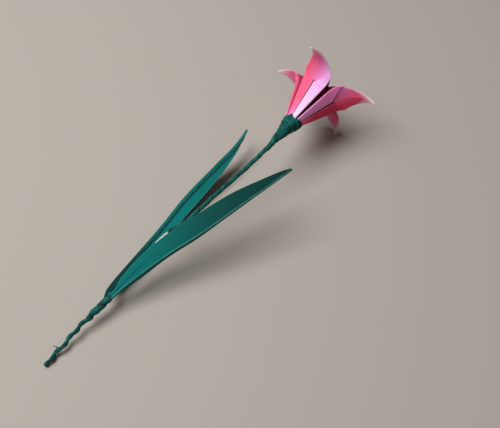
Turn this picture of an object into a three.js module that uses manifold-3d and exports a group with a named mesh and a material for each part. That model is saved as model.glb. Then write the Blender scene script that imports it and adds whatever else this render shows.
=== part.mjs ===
// An origami lily on a taped wire stem with two folded paper leaves, lying on its side.
// Millimetres, +Z up. The stem runs along +X, from its cut end to the bloom at the far end.
// The part rests on the stem's end, the lowest petal's tip and the back leaf's fold.

import * as THREE from 'three';
import { mergeVertices } from 'three/addons/utils/BufferGeometryUtils.js';
import Module from 'manifold-3d';

const wasm = await Module();
wasm.setup();

const degrees = Math.PI / 180;

// ---- driving dimensions ------------------------------------------------------------------

// where the part's own origin, the middle of its underside, lies in the coordinates used below
const datum = new THREE.Vector3(-24.857, 12.745, -0.401);

// the folded square sheet, whose seams and shoulders follow from its half side
const sheetHalfSide = 37.5;
const paperStack = 0.45;
const petalSteps = 26;
const gussetStack = 0.4;
const flapAngle = 11.25 * degrees;
const shoulder = 0.955 * sheetHalfSide;
const petalTip = Math.SQRT2 * sheetHalfSide;
const bloomStart = 0.09 * sheetHalfSide;
const gussetTop = 0.95 * sheetHalfSide;
const gussetLean = 10.5 * degrees;
const petalTipWidth = 0.6;
const gussetReach = 0.97;

// a petal's middle line bends by this many degrees between two distances, and curls from a third
const shoulderBend = 8;
const bendStart = 0.74 * sheetHalfSide;
const bendEnd = 0.9 * sheetHalfSide;
const curlStart = 0.8 * sheetHalfSide;
const profileSteps = 240;

// where the bloom sits: its apex, and how its axis points
const apex = new THREE.Vector3(31.1, 9.4, 26.1);
const axisTurn = 5.5 * degrees;
const axisRise = 0.5 * degrees;
const bloomRoll = 28.8 * degrees;

// each petal: its place round the axis, how far it leans out, how far its blade curls back,
// and how far its tip sways sideways
const petals = [
  { place: -37, lean: 21.2, curl: 108, sway: -1.9 },
  { place: 40, lean: 19.9, curl: 79.5, sway: 2.2 },
  { place: -136, lean: 20, curl: 79, sway: -0.8 },
  { place: 132.5, lean: 17.6, curl: 97.5, sway: -1.5 },
];

// the stem: its middle line from the cut end to the bloom's apex, as x, y, z
const stemLine = [
  [-120, 9.3, 0.8],
  [-114, 10.2, 1.9],
  [-108, 10.1, 3.1],
  [-102, 10.9, 4.3],
  [-95, 11.1, 5.5],
  [-88, 11, 6.7],
  [-81, 10.9, 7.8],
  [-70, 11.5, 9.6],
  [-58, 13, 11.6],
  [-48, 14, 13.2],
  [-41, 13.8, 14.4],
  [-33, 11.6, 15.7],
  [-24, 10.9, 17.1],
  [-14, 10.6, 18.8],
  [-2, 9.8, 20.7],
  [10, 9.1, 22.7],
  [21, 9, 24.5],
  [31.1, 9.4, 26.1],
];
const wireRadius = 0.5;
const wireInset = 0.9;
const tapeBore = 0.78;

// the lower tape, by distance from the cut end: it widens where it binds the leaves, and is
// open at the top where their folded bases go in
const lowerTapeEnd = 38.3;
const bindingStart = 34;
const bindingRadius = 2.05;
const bindingSocket = 1.72;
const lowerTapeRadius = 1.2;
const lumpPitch = 7.5;
const lumpHeight = 0.16;
const lumpFade = 4;
const bindingSwell = 12;

// the upper tape, by distance back from the apex, and the calyx that it makes round the bloom
const upperTapeReach = 73;
const upperTapeRadius = 1.05;
const calyxTail = 10;
const calyxRim = 9.2;
const calyxRimRadius = 4.8;
const calyxWall = 0.35;
const calyxFlare = 1.4;
const calyxFloor = 0.5;
const calyxRun = 12;

// the leaves: each one strip folded lengthwise, as the fold's line, the directions of its two
// sides round the leaf at the base, the middle and the tip, their greatest widths, how far up the
// leaf those are, and how bluntly it narrows to the base and to the tip (less is blunter); the
// back leaf's first side is only a hem
const leafThickness = 0.35;
const boundHalfWidth = 0.6;
const boundLength = 3.4;
const leafTipWidth = 0.3;
const leaves = [
  {
    name: 'leaf_front',
    fold: [
      [-84.3, 9.95, 7.7],
      [-81.5, 9.95, 8.3],
      [-78, 9.4, 9.6],
      [-72, 8.3, 11.8],
      [-53, 3.7, 18.2],
      [-32, -2.8, 24.3],
      [-13, -7.3, 29.4],
      [3, -10.7, 32.6],
      [14.3, -12.7, 34.9],
    ],
    halves: [[12, 5, 0], [-84, -66, -60]],
    widths: [9.1, 9.1],
    widest: 0.5,
    fullness: [0.75, 0.75],
  },
  {
    name: 'leaf_back',
    fold: [
      [-84.3, 11.95, 6.8],
      [-81.5, 12, 7],
      [-78, 14, 5.9],
      [-72, 16.6, 3.6],
      [-56, 21.1, 1],
      [-35.5, 25.5, -0.229],
      [-16, 28.9, 1.3],
      [6.6, 29.2, 6],
      [20, 29, 9.3],
      [29.5, 30.6, 12],
    ],
    halves: [[80, 116, 118], [128, 155, 150]],
    widths: [2.4, 9.1],
    widest: 0.56,
    fullness: [0.4, 1.05],
  },
];
const leafWireRadius = 0.4;
const leafWireSpan = [0.08, 0.94];
const leafWireGap = 0.2;

// ---- helpers -----------------------------------------------------------------------------

function signedVolume(geometry) {
  const points = geometry.attributes.position;
  const corners = geometry.index;
  const a = new THREE.Vector3();
  const b = new THREE.Vector3();
  const c = new THREE.Vector3();
  let sum = 0;
  for (let i = 0; i < corners.count; i += 3) {
    a.fromBufferAttribute(points, corners.getX(i));
    b.fromBufferAttribute(points, corners.getX(i + 1));
    c.fromBufferAttribute(points, corners.getX(i + 2));
    sum += a.dot(b.cross(c)) / 6;
  }
  return sum;
}

// one closed body with merged vertices and its faces pointing out
function closedBody(geometry) {
  geometry.deleteAttribute('normal');
  geometry.deleteAttribute('uv');
  const merged = mergeVertices(geometry, 1e-4);
  if (signedVolume(merged) < 0) {
    const turned = Array.from(merged.index.array);
    for (let i = 0; i < turned.length; i += 3) {
      [turned[i], turned[i + 1]] = [turned[i + 1], turned[i]];
    }
    merged.setIndex(turned);
  }
  return merged;
}

function toSolid(geometry) {
  const body = closedBody(geometry);
  return new wasm.Manifold(new wasm.Mesh({
    numProp: 3,
    vertProperties: new Float32Array(body.attributes.position.array),
    triVerts: new Uint32Array(body.index.array),
  }));
}

function fromSolid(solid) {
  const mesh = solid.getMesh();
  const geometry = new THREE.BufferGeometry();
  geometry.setAttribute('position', new THREE.BufferAttribute(mesh.vertProperties, 3));
  geometry.setIndex(new THREE.BufferAttribute(mesh.triVerts, 1));
  return geometry;
}

// a plate: a box grid carried onto surface(u, v), with u from 0 to 1 and v from -1 to 1,
// and given its thickness along the surface's own normal
function plate(surface, thickness, alongSteps, acrossSteps) {
  const geometry = new THREE.BoxGeometry(1, 1, 1, alongSteps, acrossSteps, 1);
  const points = geometry.attributes.position;
  const small = 0.002;
  for (let i = 0; i < points.count; i += 1) {
    const u = points.getX(i) + 0.5;
    const v = points.getY(i) * 2;
    const along = surface(Math.min(u + small, 1), v).sub(surface(Math.max(u - small, 0), v));
    const across = surface(u, Math.min(v + small, 1)).sub(surface(u, Math.max(v - small, -1)));
    const normal = along.cross(across).normalize();
    const place = surface(u, v).addScaledVector(normal, points.getZ(i) * thickness);
    points.setXYZ(i, place.x, place.y, place.z);
  }
  return geometry;
}

// a turned profile of [distance along the path, radius] pairs, carried along the path's own line;
// reshape(distance, radius, angle) gives the radius that a point has after lumps and ridges
function turnedAlong(path, profile, sides, reshape = (distance, radius) => radius) {
  const outline = profile.map(([distance, radius]) => new THREE.Vector2(radius, distance));
  const geometry = new THREE.LatheGeometry(outline, sides);
  const points = geometry.attributes.position;
  const total = path.getLength();
  const up = new THREE.Vector3(0, 0, 1);
  for (let i = 0; i < points.count; i += 1) {
    const distance = points.getY(i);
    const tangent = path.getTangentAt(THREE.MathUtils.clamp(distance / total, 0, 1));
    const side = new THREE.Vector3().crossVectors(up, tangent).normalize();
    const top = new THREE.Vector3().crossVectors(tangent, side);
    const radius = Math.hypot(points.getX(i), points.getZ(i));
    const angle = Math.atan2(points.getZ(i), points.getX(i));
    const scale = radius > 0 ? reshape(distance, radius, angle) / radius : 1;
    const place = path.getPointAt(THREE.MathUtils.clamp(distance / total, 0, 1));
    place.addScaledVector(tangent, Math.max(distance - total, 0) + Math.min(distance, 0));
    place.addScaledVector(side, points.getX(i) * scale);
    place.addScaledVector(top, points.getZ(i) * scale);
    points.setXYZ(i, place.x, place.y, place.z);
  }
  return geometry;
}

function finish(name, geometry, colour, roughness) {
  const material = new THREE.MeshStandardMaterial({ color: colour, roughness, metalness: 0 });
  const mesh = new THREE.Mesh(closedBody(geometry), material);
  mesh.name = name;
  mesh.position.copy(datum).negate();
  return mesh;
}

function curveThrough(points) {
  const curve = new THREE.CatmullRomCurve3(points.map((point) => new THREE.Vector3(...point)));
  curve.arcLengthDivisions = 600;
  return curve;
}

function smoothStep(value, start, end) {
  const share = THREE.MathUtils.clamp((value - start) / (end - start), 0, 1);
  return share * share * (3 - 2 * share);
}

// ---- bloom -------------------------------------------------------------------------------

const bloomAxis = new THREE.Vector3(
  Math.cos(axisTurn) * Math.cos(axisRise),
  Math.sin(axisTurn) * Math.cos(axisRise),
  Math.sin(axisRise),
);
const bloomUp = new THREE.Vector3(0, 0, 1).addScaledVector(bloomAxis, -bloomAxis.z).normalize();
const bloomSide = new THREE.Vector3().crossVectors(bloomAxis, bloomUp);

function outwards(angle) {
  return bloomUp.clone().multiplyScalar(Math.cos(angle)).addScaledVector(bloomSide, Math.sin(angle));
}

// a petal's middle line leans out of the apex straight to the seam's top, bends a little there,
// and then curls back steadily to its tip
function petalProfile(petal) {
  const step = petalTip / profileSteps;
  const profile = [{ along: 0, out: 0 }];
  for (let i = 0; i < profileSteps; i += 1) {
    const distance = (i + 0.5) * step;
    const bend = shoulderBend * smoothStep(distance, bendStart, bendEnd);
    const curled = petal.curl * Math.max(distance - curlStart, 0) / (petalTip - curlStart);
    const angle = (petal.lean + bend + curled) * degrees;
    const last = profile[i];
    profile.push({ along: last.along + step * Math.cos(angle), out: last.out + step * Math.sin(angle) });
  }
  return (distance) => {
    const index = Math.min(distance / step, profileSteps - 1e-6);
    const low = Math.floor(index);
    const share = index - low;
    return {
      along: profile[low].along * (1 - share) + profile[low + 1].along * share,
      out: profile[low].out * (1 - share) + profile[low + 1].out * share,
    };
  };
}

// half the petal's width: two flaps of 11.25 degrees each up to the shoulder, then a straight taper
function petalHalfWidth(distance) {
  const flap = Math.tan(flapAngle) * Math.min(distance, shoulder);
  const taper = Math.min((petalTip - distance) / (petalTip - shoulder), 1);
  return flap * taper + (1 - taper) * petalTipWidth / 2;
}

function bloomPoint(along, out, angle, sideways) {
  const place = apex.clone().addScaledVector(bloomAxis, along).addScaledVector(outwards(angle), out);
  return place.addScaledVector(outwards(angle + Math.PI / 2), sideways);
}

function makePetal(petal) {
  const profile = petalProfile(petal);
  const angle = bloomRoll + petal.place * degrees;
  const surface = (u, v) => {
    const distance = bloomStart + (petalTip - bloomStart) * u;
    const { along, out } = profile(distance);
    const share = Math.max(distance - shoulder, 0) / (petalTip - shoulder);
    return bloomPoint(along, out, angle, v * petalHalfWidth(distance) + petal.sway * share ** 2);
  };
  return plate(surface, paperStack, petalSteps, 2);
}

// the paper between two petals is folded inwards, so a groove runs down to the apex
function makeGusset(petal, next) {
  const start = bloomRoll + petal.place * degrees;
  let end = bloomRoll + next.place * degrees;
  if (end < start) {
    end += 2 * Math.PI;
  }
  const middle = (start + end) / 2;
  const surface = (u, v) => {
    const distance = bloomStart + (gussetTop - bloomStart) * u;
    const valley = bloomPoint(
      distance * Math.cos(gussetLean), distance * Math.sin(gussetLean), middle, 0,
    );
    const side = v < 0 ? petal : next;
    const sideAngle = v < 0 ? start : end;
    const lean = side.lean * degrees;
    const reach = Math.tan(flapAngle) * distance * gussetReach;
    const crease = bloomPoint(
      distance * Math.cos(lean), distance * Math.sin(lean), sideAngle, v < 0 ? reach : -reach,
    );
    return valley.lerp(crease, Math.abs(v));
  };
  return plate(surface, gussetStack, 3, 2);
}

function makeBloom() {
  const order = [...petals].sort((a, b) => a.place - b.place);
  let solid = null;
  order.forEach((petal, i) => {
    const pieces = [makePetal(petal), makeGusset(petal, order[(i + 1) % order.length])];
    pieces.forEach((piece) => {
      const next = toSolid(piece);
      solid = solid ? solid.add(next) : next;
    });
  });
  return fromSolid(solid);
}

// ---- stem --------------------------------------------------------------------------------

// the stem's line runs on along the bloom's axis past the apex, for the calyx to follow
const calyxEnd = apex.clone().addScaledVector(bloomAxis, calyxRun);
const stemPath = curveThrough([...stemLine, calyxEnd.toArray()]);
const stemLength = stemPath.getLengths(stemLine.length * 40)[(stemLine.length - 1) * 40];

// evenly spaced profile points of one radius function between two distances
function stations(start, end, count, radiusAt) {
  return Array.from({ length: count + 1 }, (_, i) => {
    const distance = start + (end - start) * i / count;
    return [distance, radiusAt(distance)];
  });
}

function makeWire() {
  const wireEnd = stemLength - wireInset;
  return turnedAlong(stemPath, [
    [wireInset, 0],
    ...stations(wireInset, wireEnd, 30, () => wireRadius),
    [wireEnd, 0],
  ], 8);
}

// tape wound in a lumpy spiral round the wire
function makeLowerTape() {
  const outer = (distance) => (
    lowerTapeRadius + (bindingRadius - lowerTapeRadius) * smoothStep(distance, bindingStart - bindingSwell, bindingStart)
  );
  const lumps = (distance, radius, angle) => {
    const fade = 1 - smoothStep(distance, bindingStart - lumpFade, bindingStart);
    const lump = Math.cos(angle - 2 * Math.PI * distance / lumpPitch);
    return radius > tapeBore ? radius * (1 + lumpHeight * fade * lump) : radius;
  };
  return turnedAlong(stemPath, [
    [0, tapeBore],
    [0, outer(0)],
    ...stations(0, lowerTapeEnd, 30, outer).slice(1),
    [lowerTapeEnd, bindingSocket],
    [bindingStart, bindingSocket],
    [bindingStart, tapeBore],
    ...stations(0, bindingStart, 7, () => tapeBore).reverse().slice(1),
  ], 12, lumps);
}

function makeUpperTape() {
  const start = stemLength - upperTapeReach;
  const rim = stemLength + calyxRim;
  const outer = (distance) => {
    const flare = (distance - stemLength + calyxTail) / (calyxTail + calyxRim);
    return upperTapeRadius + (calyxRimRadius - upperTapeRadius) * Math.max(flare, 0) ** calyxFlare;
  };
  const mouth = (distance) => Math.max(outer(distance) - calyxWall, tapeBore);
  const cavity = stemLength + calyxFloor;
  return turnedAlong(stemPath, [
    ...stations(start, cavity, 11, () => tapeBore).reverse(),
    ...stations(start, stemLength - calyxTail, 11, outer),
    ...stations(stemLength - calyxTail, rim, 7, outer).slice(1),
    ...stations(cavity, rim, 3, mouth).reverse(),
    [cavity, tapeBore],
  ], 16);
}

// ---- leaves ------------------------------------------------------------------------------

// a value given at the base, the middle and the tip, read in between along a parabola
function along([base, middle, tip], t) {
  return base * (1 - t) * (1 - 2 * t) + middle * 4 * t * (1 - t) + tip * t * (2 * t - 1);
}

function leafWidth(leaf, side, length, t) {
  const bound = boundLength / length;
  const free = THREE.MathUtils.clamp((t - bound) / (1 - bound), 0, 1);
  const warped = free ** (Math.log(0.5) / Math.log(leaf.widest));
  const bluntness = leaf.fullness[warped < 0.5 ? 0 : 1];
  const blade = leaf.widths[side] * (4 * warped * (1 - warped)) ** bluntness;
  return Math.max(blade, THREE.MathUtils.lerp(boundHalfWidth, leafTipWidth, t));
}

function acrossDirection(angle) {
  return new THREE.Vector3(0, Math.cos(angle * degrees), Math.sin(angle * degrees));
}

function makeLeaf(leaf) {
  const fold = curveThrough(leaf.fold);
  const length = fold.getLength();
  const surface = (u, v) => {
    const side = v < 0 ? 0 : 1;
    const angle = along(leaf.halves[side], u);
    const reach = Math.abs(v) * leafWidth(leaf, side, length, u);
    return fold.getPointAt(u).addScaledVector(acrossDirection(angle), reach);
  };
  return plate(surface, leafThickness, 30, 4);
}

// the wire that lies in a leaf's fold, clear of both halves
function makeLeafWire(leaf) {
  const fold = curveThrough(leaf.fold);
  const count = 12;
  const points = Array.from({ length: count + 1 }, (_, i) => {
    const t = THREE.MathUtils.lerp(...leafWireSpan, i / count);
    const first = along(leaf.halves[0], t);
    const second = along(leaf.halves[1], t);
    const halfOpening = Math.abs(first - second) / 2;
    const clear = leafWireRadius + leafThickness / 2 + leafWireGap;
    const rise = clear / Math.sin(halfOpening * degrees);
    return fold.getPointAt(t).addScaledVector(acrossDirection((first + second) / 2), rise);
  });
  const circle = new THREE.Shape().absarc(0, 0, leafWireRadius, 0, 2 * Math.PI);
  return new THREE.ExtrudeGeometry(circle, {
    steps: 16,
    curveSegments: 4,
    bevelEnabled: false,
    extrudePath: new THREE.CatmullRomCurve3(points),
  });
}

// ---- group -------------------------------------------------------------------------------

const flower = new THREE.Group();
flower.add(finish('bloom', makeBloom(), '#e0568c', 0.6));
flower.add(finish('stem_wire', makeWire(), '#e8e2da', 0.8));
flower.add(finish('lower_tape', makeLowerTape(), '#14615a', 0.75));
flower.add(finish('upper_tape', makeUpperTape(), '#14615a', 0.75));
leaves.forEach((leaf) => {
  flower.add(finish(leaf.name, makeLeaf(leaf), '#10605a', 0.7));
  flower.add(finish(`${leaf.name}_wire`, makeLeafWire(leaf), '#0d4a44', 0.75));
});

export default flower;
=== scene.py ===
# An origami lily on a taped wire stem with two folded paper leaves, lying on its side.
import math

import bmesh
import bpy
import numpy as np
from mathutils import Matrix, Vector


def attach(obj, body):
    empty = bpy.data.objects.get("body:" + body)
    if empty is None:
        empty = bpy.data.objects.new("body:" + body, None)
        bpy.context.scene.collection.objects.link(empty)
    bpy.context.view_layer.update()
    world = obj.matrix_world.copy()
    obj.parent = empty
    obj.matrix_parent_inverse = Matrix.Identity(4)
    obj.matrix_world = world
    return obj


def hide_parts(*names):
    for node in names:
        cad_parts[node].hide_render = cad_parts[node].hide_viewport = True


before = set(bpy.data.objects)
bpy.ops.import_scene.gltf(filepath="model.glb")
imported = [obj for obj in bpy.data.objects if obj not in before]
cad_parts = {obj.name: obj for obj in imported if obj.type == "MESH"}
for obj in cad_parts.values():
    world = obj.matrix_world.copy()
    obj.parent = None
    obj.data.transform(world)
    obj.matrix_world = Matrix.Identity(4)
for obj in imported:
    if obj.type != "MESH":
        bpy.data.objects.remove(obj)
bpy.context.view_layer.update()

print("frame loaded:", len(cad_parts), "nodes")

degrees = math.pi / 180
toFrame = np.array([24.857, -12.745, 0.401])  # from the maker's working millimetres to the frame's


# Geometry that every piece shares.

def smooth(value, start, end):
    # 0 before start, 1 after end, and the cubic 3s^2 - 2s^3 between them
    share = np.clip((value - start) / (end - start), 0, 1)
    return share * share * (3 - 2 * share)


def unit(vectors):
    # each vector divided by its own length
    return vectors / np.maximum(np.linalg.norm(vectors, axis=-1, keepdims=True), 1e-12)


def splineThrough(points, perSpan=60):
    # centripetal Catmull-Rom spline: cubic spans whose end slopes come from knots spaced by
    # the square root of the distance between points
    points = np.array(points, float)
    before = 2 * points[0] - points[1]
    after = 2 * points[-1] - points[-2]
    knots = np.vstack([before, points, after])
    gaps = np.linalg.norm(np.diff(knots, axis=0), axis=1) ** 0.5
    p0, p1, p2, p3 = knots[:-3], knots[1:-2], knots[2:-1], knots[3:]
    d0, d1, d2 = gaps[:-2, None], gaps[1:-1, None], gaps[2:, None]
    slope1 = ((p1 - p0) / d0 - (p2 - p0) / (d0 + d1) + (p2 - p1) / d1) * d1
    slope2 = ((p2 - p1) / d1 - (p3 - p1) / (d1 + d2) + (p3 - p2) / d2) * d1
    s = (np.arange(perSpan) / perSpan)[None, :, None]
    c2 = -3 * p1 + 3 * p2 - 2 * slope1 - slope2
    c3 = 2 * p1 - 2 * p2 + slope1 + slope2
    spans = p1[:, None] + slope1[:, None] * s + c2[:, None] * s ** 2 + c3[:, None] * s ** 3
    line = np.vstack([spans.reshape(-1, 3), points[-1]])
    distance = np.concatenate([[0], np.cumsum(np.linalg.norm(np.diff(line, axis=0), axis=1))])
    return {"line": line, "distance": distance, "length": distance[-1], "perSpan": perSpan}


def alongSpline(spline, distance):
    # the point at each distance along the line, run on straight past either end
    inside = np.clip(distance, 0, spline["length"])
    axes = [np.interp(inside, spline["distance"], spline["line"][:, i]) for i in range(3)]
    return np.stack(axes, -1)


def tangentAt(spline, distance):
    # the chord between points 0.2 mm each side
    inside = np.clip(distance, 0.2, spline["length"] - 0.2)
    return unit(alongSpline(spline, inside + 0.2) - alongSpline(spline, inside - 0.2))


def tubeGrid(spline, distance, angle, radius):
    # a circle of the given radius in the plane square to the line at each distance
    distance, angle, radius = np.broadcast_arrays(distance, angle, radius)
    tangent = tangentAt(spline, distance)
    side = unit(np.cross(np.array([0.0, 0.0, 1.0]), tangent))
    top = np.cross(tangent, side)
    beyond = np.maximum(distance - spline["length"], 0) + np.minimum(distance, 0)
    centre = alongSpline(spline, distance) + tangent * beyond[..., None]
    across = side * np.cos(angle)[..., None] + top * np.sin(angle)[..., None]
    return centre + across * radius[..., None]


def quads(rows, columns, wrap=False, flip=False):
    # the four corners of every cell of a grid, row by row
    r, c = np.meshgrid(np.arange(rows - 1), np.arange(columns if wrap else columns - 1),
                       indexing="ij")
    following = (c + 1) % columns
    corners = np.stack([r * columns + c, r * columns + following,
                        (r + 1) * columns + following, (r + 1) * columns + c], -1).reshape(-1, 4)
    return corners[:, ::-1] if flip else corners


def tubePart(grid, facts):
    # a grid closed round its columns, whose first and last rows are drawn in to a point
    first = np.broadcast_to(grid[:1].mean(1, keepdims=True), grid[:1].shape)
    last = np.broadcast_to(grid[-1:].mean(1, keepdims=True), grid[-1:].shape)
    full = np.concatenate([first, grid, last])
    spread = {k: np.concatenate([v[:1], v, v[-1:]]).ravel() for k, v in facts.items()}
    return full.reshape(-1, 3), quads(full.shape[0], full.shape[1], wrap=True), spread


def sheetPart(grid, thickness, facts):
    # a sheet of paper: the grid moved half the thickness each way along its own normal, with
    # the outermost rings drawn together so that its edges are rounded and closed
    normal = unit(np.cross(np.gradient(grid, axis=0), np.gradient(grid, axis=1)))
    rows, columns = grid.shape[:2]
    rim = np.array([0, 0.72, 1.0])
    rowRim = np.ones(rows)
    rowRim[:3] = rim
    rowRim[-3:] = rim[::-1]
    columnRim = np.ones(columns)
    columnRim[:3] = rim
    columnRim[-3:] = rim[::-1]
    swell = (np.minimum(rowRim[:, None], columnRim[None, :]) * thickness / 2)[..., None]
    upper = (grid + normal * swell).reshape(-1, 3)
    lower = (grid - normal * swell).reshape(-1, 3)
    faces = np.vstack([quads(rows, columns), quads(rows, columns, flip=True) + rows * columns])
    spread = {k: np.tile(np.broadcast_to(v, (rows, columns)).ravel(), 2) for k, v in facts.items()}
    return np.vstack([upper, lower]), faces, spread


def rimmed(count, inset):
    # positions from 0 to 1 with two extra ones close to each end, for a rounded edge
    middle = np.linspace(0, 1, count)[1:-1]
    middle = inset * 2 + (1 - 4 * inset) * middle
    return np.concatenate([[0, inset * 0.35, inset], middle, [1 - inset, 1 - inset * 0.35, 1]])


def makePiece(name, parts, node):
    points, faces, start = [], [], 0
    names = sorted({k for part in parts for k in part[2]})
    for part in parts:
        points.append(part[0])
        faces.append(part[1] + start)
        start += len(part[0])
    facts = {k: np.concatenate([part[2].get(k, np.zeros(len(part[0]))) for part in parts])
             for k in names}
    places = (np.vstack(points) + toFrame) * 0.001
    mesh = bpy.data.meshes.new(name)
    mesh.from_pydata(places.tolist(), [], np.vstack(faces).tolist())
    for k in names:
        layer = mesh.attributes.new(k, "FLOAT", "POINT")
        layer.data.foreach_set("value", facts[k].astype(np.float32))
    work = bmesh.new()
    work.from_mesh(mesh)
    bmesh.ops.remove_doubles(work, verts=work.verts, dist=2e-7)
    bmesh.ops.dissolve_degenerate(work, edges=work.edges, dist=1e-8)
    bmesh.ops.recalc_face_normals(work, faces=work.faces)
    for face in work.faces:
        face.smooth = True
    work.to_mesh(mesh)
    work.free()
    piece = bpy.data.objects.new(name, mesh)
    bpy.context.scene.collection.objects.link(piece)
    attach(piece, "root")
    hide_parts(node)
    print("made", name, len(mesh.polygons), "faces")
    return piece


# Shader node groups, and short ways to add nodes.

def addSocket(group, name, kind, isInput, value=None):
    socket = group.interface.new_socket(
        name=name, in_out="INPUT" if isInput else "OUTPUT", socket_type="NodeSocket" + kind)
    if value is not None:
        socket.default_value = value
    return socket


def node(tree, kind, **values):
    made = tree.nodes.new(kind)
    for k, v in values.items():
        setattr(made, k, v)
    return made


def mathNode(tree, operation, first, second=None, third=None, clamp=False):
    made = node(tree, "ShaderNodeMath", operation=operation, use_clamp=clamp)
    for i, value in enumerate([first, second, third]):
        if value is None:
            continue
        if isinstance(value, (int, float)):
            made.inputs[i].default_value = value
        else:
            tree.links.new(value, made.inputs[i])
    return made.outputs[0]


def mixColour(tree, factor, first, second, blend="MIX"):
    made = node(tree, "ShaderNodeMix", data_type="RGBA", blend_type=blend)
    for socket, value in ((made.inputs[0], factor), (made.inputs[6], first), (made.inputs[7], second)):
        if isinstance(value, (int, float)):
            socket.default_value = value
        elif isinstance(value, tuple):
            socket.default_value = (*value, 1)
        else:
            tree.links.new(value, socket)
    return made.outputs[2]


def readFact(tree, name):
    return node(tree, "ShaderNodeAttribute", attribute_name=name).outputs["Fac"]


def makePaperGrain():
    # paper fibre: fine speckle for height, and slow cloudy variation for colour and gloss
    group = bpy.data.node_groups.new("paperGrain", "ShaderNodeTree")
    addSocket(group, "Scale", "Float", True, 900)
    addSocket(group, "Cloud Scale", "Float", True, 120)
    addSocket(group, "Height", "Float", False)
    addSocket(group, "Cloud", "Float", False)
    addSocket(group, "Fibre", "Float", False)
    ins, outs = node(group, "NodeGroupInput"), node(group, "NodeGroupOutput")
    place = node(group, "ShaderNodeTexCoord").outputs["Object"]
    speckle = node(group, "ShaderNodeTexNoise")
    speckle.inputs["Detail"].default_value = 4
    speckle.inputs["Roughness"].default_value = 0.6
    cloud = node(group, "ShaderNodeTexNoise")
    cloud.inputs["Detail"].default_value = 3
    stretched = node(group, "ShaderNodeMapping")
    stretched.inputs["Scale"].default_value = (0.25, 1, 1)
    stretched.inputs["Rotation"].default_value = (0.2, 0.1, 0.5)
    fibre = node(group, "ShaderNodeTexNoise")
    fibre.inputs["Detail"].default_value = 2
    group.links.new(place, speckle.inputs["Vector"])
    group.links.new(place, cloud.inputs["Vector"])
    group.links.new(place, stretched.inputs["Vector"])
    group.links.new(stretched.outputs[0], fibre.inputs["Vector"])
    group.links.new(ins.outputs["Scale"], speckle.inputs["Scale"])
    group.links.new(ins.outputs["Scale"], fibre.inputs["Scale"])
    group.links.new(ins.outputs["Cloud Scale"], cloud.inputs["Scale"])
    height = mathNode(group, "MULTIPLY_ADD", fibre.outputs[0], 0.6, speckle.outputs[0])
    group.links.new(height, outs.inputs["Height"])
    group.links.new(cloud.outputs[0], outs.inputs["Cloud"])
    group.links.new(fibre.outputs[0], outs.inputs["Fibre"])
    return group


def makeCrepe():
    # crepe ridges: a wave that runs round the tape, bent by noise, read from two attributes
    group = bpy.data.node_groups.new("crepeTape", "ShaderNodeTree")
    addSocket(group, "Along", "Float", True)
    addSocket(group, "Around", "Float", True)
    addSocket(group, "Height", "Float", False)
    addSocket(group, "Blotch", "Float", False)
    ins, outs = node(group, "NodeGroupInput"), node(group, "NodeGroupOutput")
    place = node(group, "ShaderNodeTexCoord").outputs["Object"]
    wobble = node(group, "ShaderNodeTexNoise")
    wobble.inputs["Scale"].default_value = 420
    wobble.inputs["Detail"].default_value = 4
    blotch = node(group, "ShaderNodeTexNoise")
    blotch.inputs["Scale"].default_value = 330
    blotch.inputs["Detail"].default_value = 3
    group.links.new(place, wobble.inputs["Vector"])
    group.links.new(place, blotch.inputs["Vector"])
    slant = mathNode(group, "MULTIPLY_ADD", ins.outputs["Around"], 14.0,
                     mathNode(group, "MULTIPLY", ins.outputs["Along"], 3.2))
    bent = mathNode(group, "MULTIPLY_ADD", wobble.outputs[0], 7.0, slant)
    ridge = mathNode(group, "SINE", bent)
    height = mathNode(group, "MULTIPLY_ADD", ridge, 0.35, wobble.outputs[0])
    group.links.new(height, outs.inputs["Height"])
    group.links.new(blotch.outputs[0], outs.inputs["Blotch"])
    return group


paperGrain = makePaperGrain()
crepeTape = makeCrepe()


def startMaterial(name, roughness):
    material = bpy.data.materials.new(name)
    material.use_nodes = True
    tree = material.node_tree
    shader = tree.nodes["Principled BSDF"]
    shader.inputs["Roughness"].default_value = roughness
    return material, tree, shader


def addGroup(tree, group, **values):
    made = node(tree, "ShaderNodeGroup", node_tree=group)
    for k, v in values.items():
        socket = made.inputs[k.replace("_", " ")]
        if isinstance(v, (int, float)):
            socket.default_value = v
        else:
            tree.links.new(v, socket)
    return made


def addBump(tree, shader, height, strength, distance):
    bump = node(tree, "ShaderNodeBump")
    bump.inputs["Strength"].default_value = strength
    bump.inputs["Distance"].default_value = distance
    tree.links.new(height, bump.inputs["Height"])
    tree.links.new(bump.outputs[0], shader.inputs["Normal"])


def ramp(tree, factor, stops):
    made = node(tree, "ShaderNodeValToRGB")
    elements = made.color_ramp.elements
    while len(elements) < len(stops):
        elements.new(0.5)
    for element, (place, colour) in zip(elements, stops):
        element.position = place
        element.color = (*colour, 1)
    tree.links.new(factor, made.inputs[0])
    return made.outputs[0]


# The bloom, folded from one square sheet.

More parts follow.
